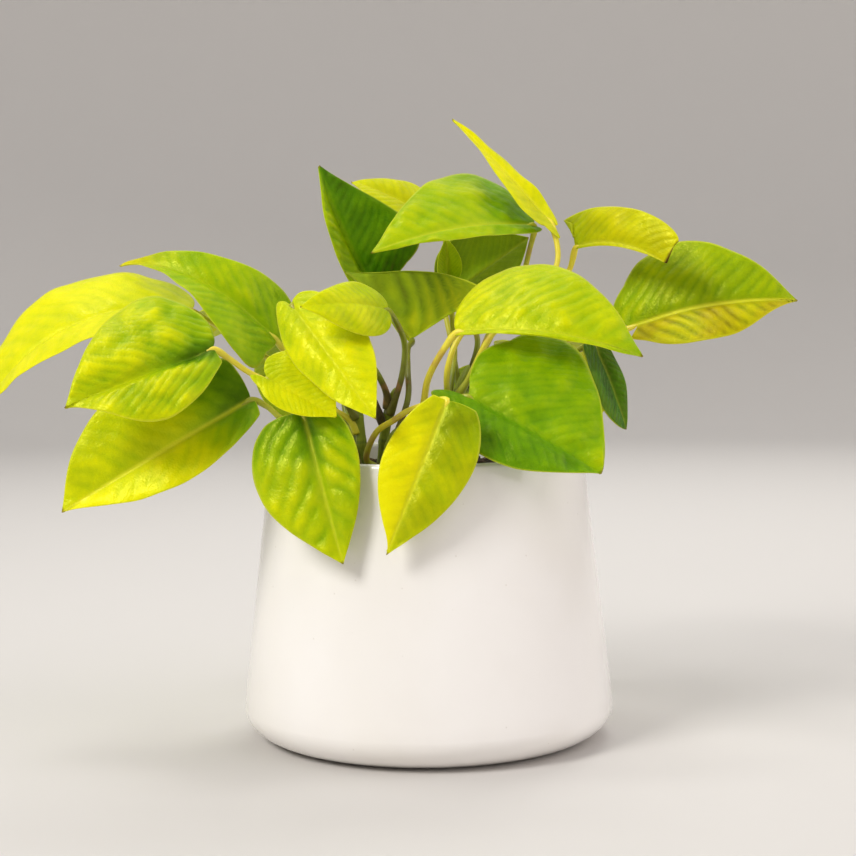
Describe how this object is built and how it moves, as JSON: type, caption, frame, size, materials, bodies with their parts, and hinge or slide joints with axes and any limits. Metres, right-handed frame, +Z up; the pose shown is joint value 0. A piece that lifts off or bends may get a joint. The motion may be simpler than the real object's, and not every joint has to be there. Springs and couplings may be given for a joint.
{
  "type": "potted neon pothos",
  "caption": "Neon pothos house plant with glossy yellow-green heart-shaped leaves on long stalks, in a smooth tapered white glazed pot filled with potting mix.",
  "frame": {"origin": "centre of the pot's flat underside", "axes": "+Z is up, out of the pot. -Y is towards the front of the plant, where the leaves face. +X is to the right for someone who looks at the front."},
  "size_m": [0.324, 0.192, 0.251],
  "materials": {
    "pot_glaze": "gloss",
    "potting_mix": "matte",
    "vine_skin": "satin",
    "petiole_skin": "satin",
    "leaf_blade": "gloss"
  },
  "bodies": {
    "root": {"pot": "pot_glaze", "potting_mix": "potting_mix", "vine_front_left": "vine_skin", "vine_centre": "vine_skin", "vine_front_right": "vine_skin", "vine_right": "vine_skin", "vine_back_left": "vine_skin", "vine_back": "vine_skin", "petiole_far_left": "petiole_skin", "leaf_far_left": "leaf_blade", "petiole_left": "petiole_skin", "leaf_left": "leaf_blade", "petiole_low_left": "petiole_skin", "leaf_low_left": "leaf_blade", "petiole_upper_left": "petiole_skin", "leaf_upper_left": "leaf_blade", "petiole_centre_left": "petiole_skin", "leaf_centre_left": "leaf_blade", "petiole_under_centre": "petiole_skin", "leaf_under_centre": "leaf_blade", "petiole_small_centre": "petiole_skin", "leaf_small_centre": "leaf_blade", "petiole_over_rim_left": "petiole_skin", "leaf_over_rim_left": "leaf_blade", "petiole_over_rim_right": "petiole_skin", "leaf_over_rim_right": "leaf_blade", "petiole_low_right": "petiole_skin", "leaf_low_right": "leaf_blade", "petiole_right": "petiole_skin", "leaf_right": "leaf_blade", "petiole_behind_right": "petiole_skin", "leaf_behind_right": "leaf_blade", "petiole_far_right": "petiole_skin", "leaf_far_right": "leaf_blade", "petiole_upper_right": "petiole_skin", "leaf_upper_right": "leaf_blade", "petiole_upright": "petiole_skin", "leaf_upright": "leaf_blade", "petiole_crown": "petiole_skin", "leaf_crown": "leaf_blade", "petiole_dark_upper": "petiole_skin", "leaf_dark_upper": "leaf_blade", "petiole_behind_crown": "petiole_skin", "leaf_behind_crown": "leaf_blade", "petiole_inner": "petiole_skin", "leaf_inner": "leaf_blade", "petiole_new": "petiole_skin", "leaf_new": "leaf_blade", "petiole_inner_back": "petiole_skin", "leaf_inner_back": "leaf_blade", "petiole_back_left": "petiole_skin", "leaf_back_left": "leaf_blade", "petiole_back_centre": "petiole_skin", "leaf_back_centre": "leaf_blade", "petiole_back_right": "petiole_skin", "leaf_back_right": "leaf_blade", "petiole_back_low": "petiole_skin", "leaf_back_low": "leaf_blade", "petiole_back_high": "petiole_skin", "leaf_back_high": "leaf_blade"}
  },
  "joints": []
}
